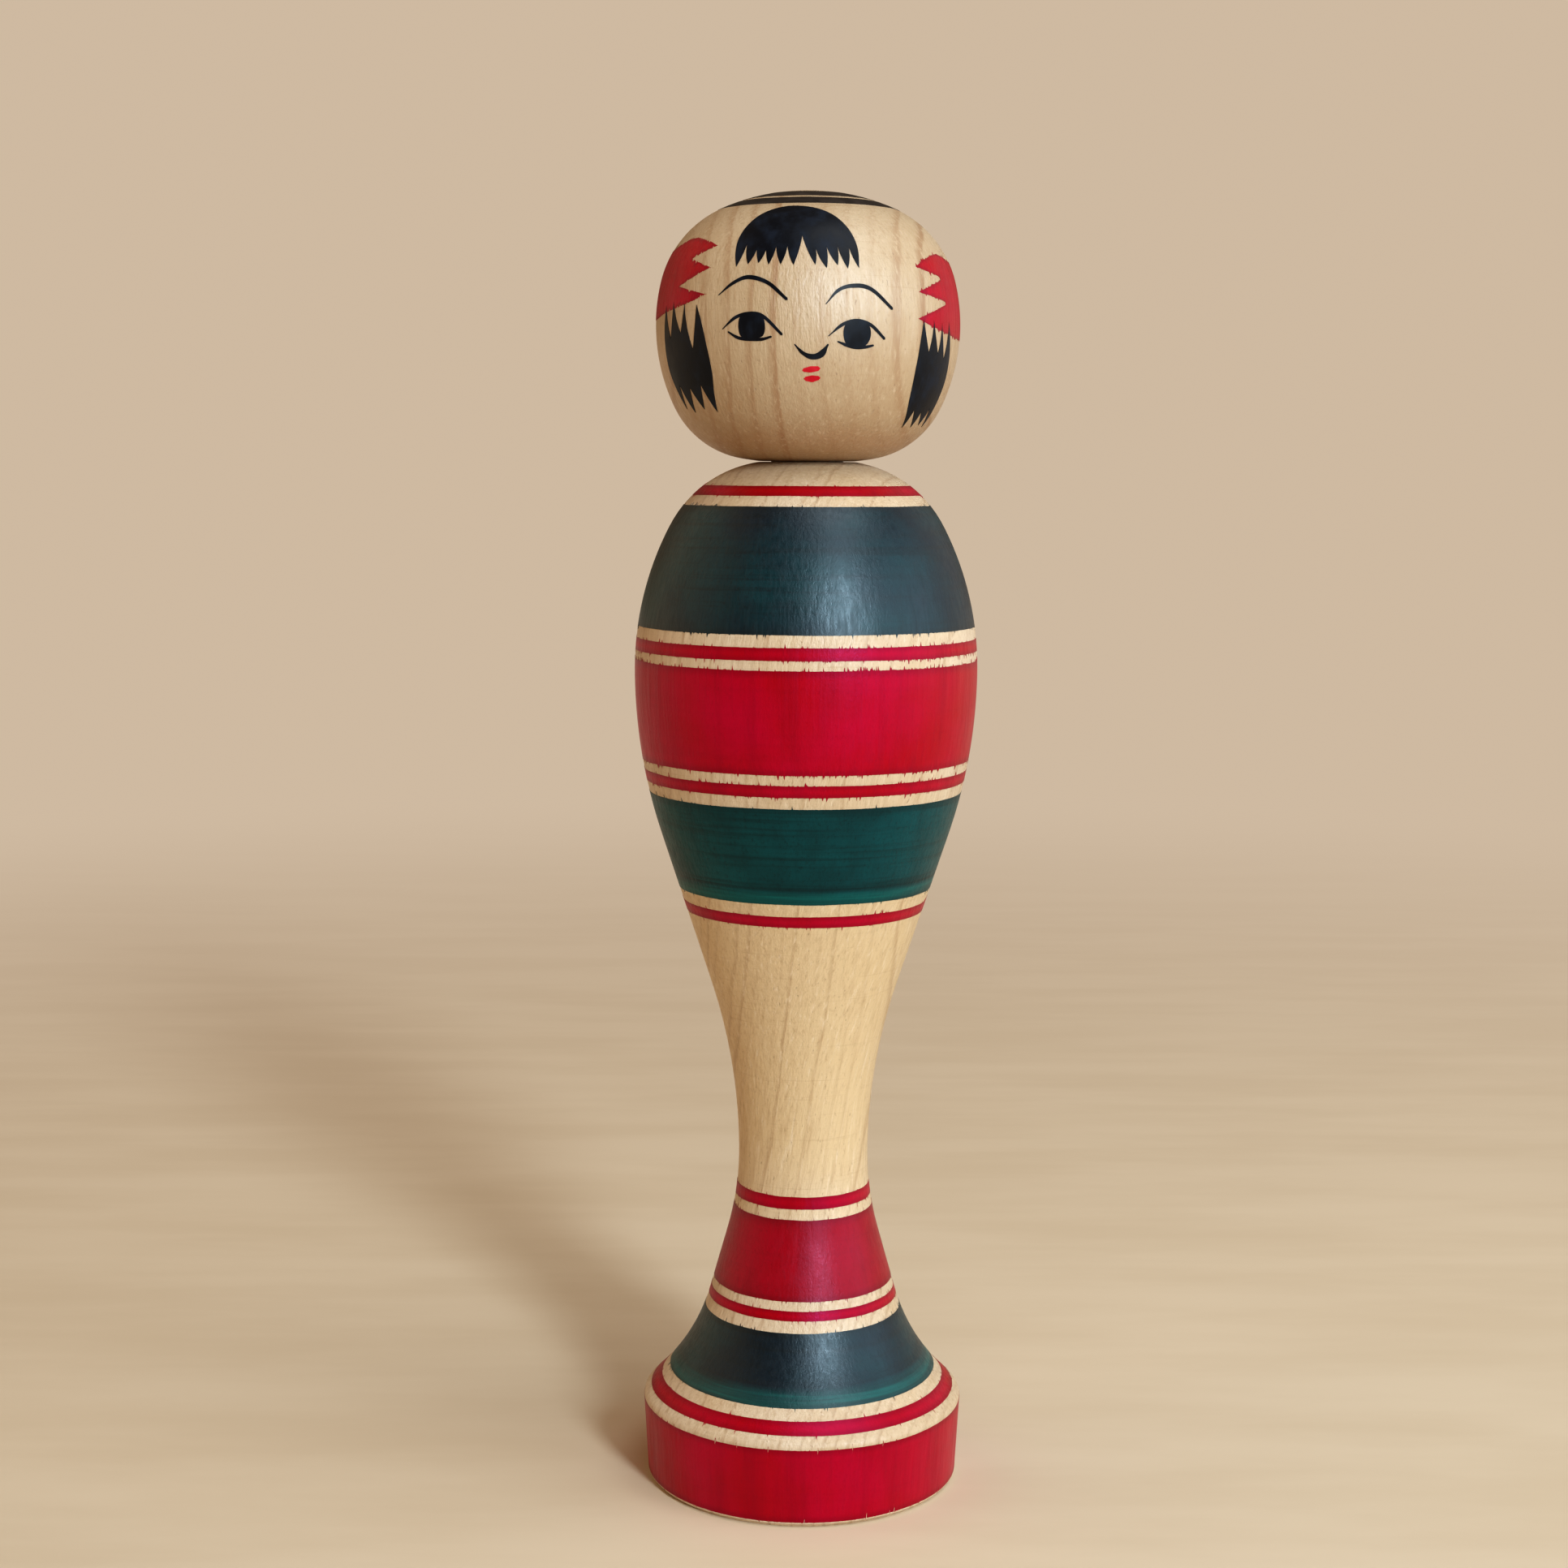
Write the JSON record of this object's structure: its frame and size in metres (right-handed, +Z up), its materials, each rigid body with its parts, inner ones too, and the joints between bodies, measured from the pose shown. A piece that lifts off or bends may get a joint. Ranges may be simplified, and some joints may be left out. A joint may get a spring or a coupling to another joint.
{
  "type": "turned wooden doll",
  "caption": "Limbless turned wooden doll: painted round head that turns in a pinched-waist body with a flared foot.",
  "frame": {"origin": "centre of the foot on the surface the doll stands on", "axes": "+Z up along the doll's turning axis, face towards -Y, the doll's left hand side towards +X"},
  "size_m": [0.0478, 0.0478, 0.1818],
  "materials": {
    "body_wood": "satin, waxed",
    "head_wood": "satin, waxed",
    "red_dye": "satin, dyed and waxed",
    "green_dye": "satin, dyed and waxed",
    "black_ink": "satin, inked and waxed"
  },
  "bodies": {
    "torso": {"body": "body_wood"},
    "head": {"head": "head_wood"}
  },
  "joints": [
    {"name": "neck", "type": "hinge", "parent": "torso", "child": "head", "pos_m": [0, 0, 0.1452], "axis": [0, 0, 1], "continuous": true}
  ]
}
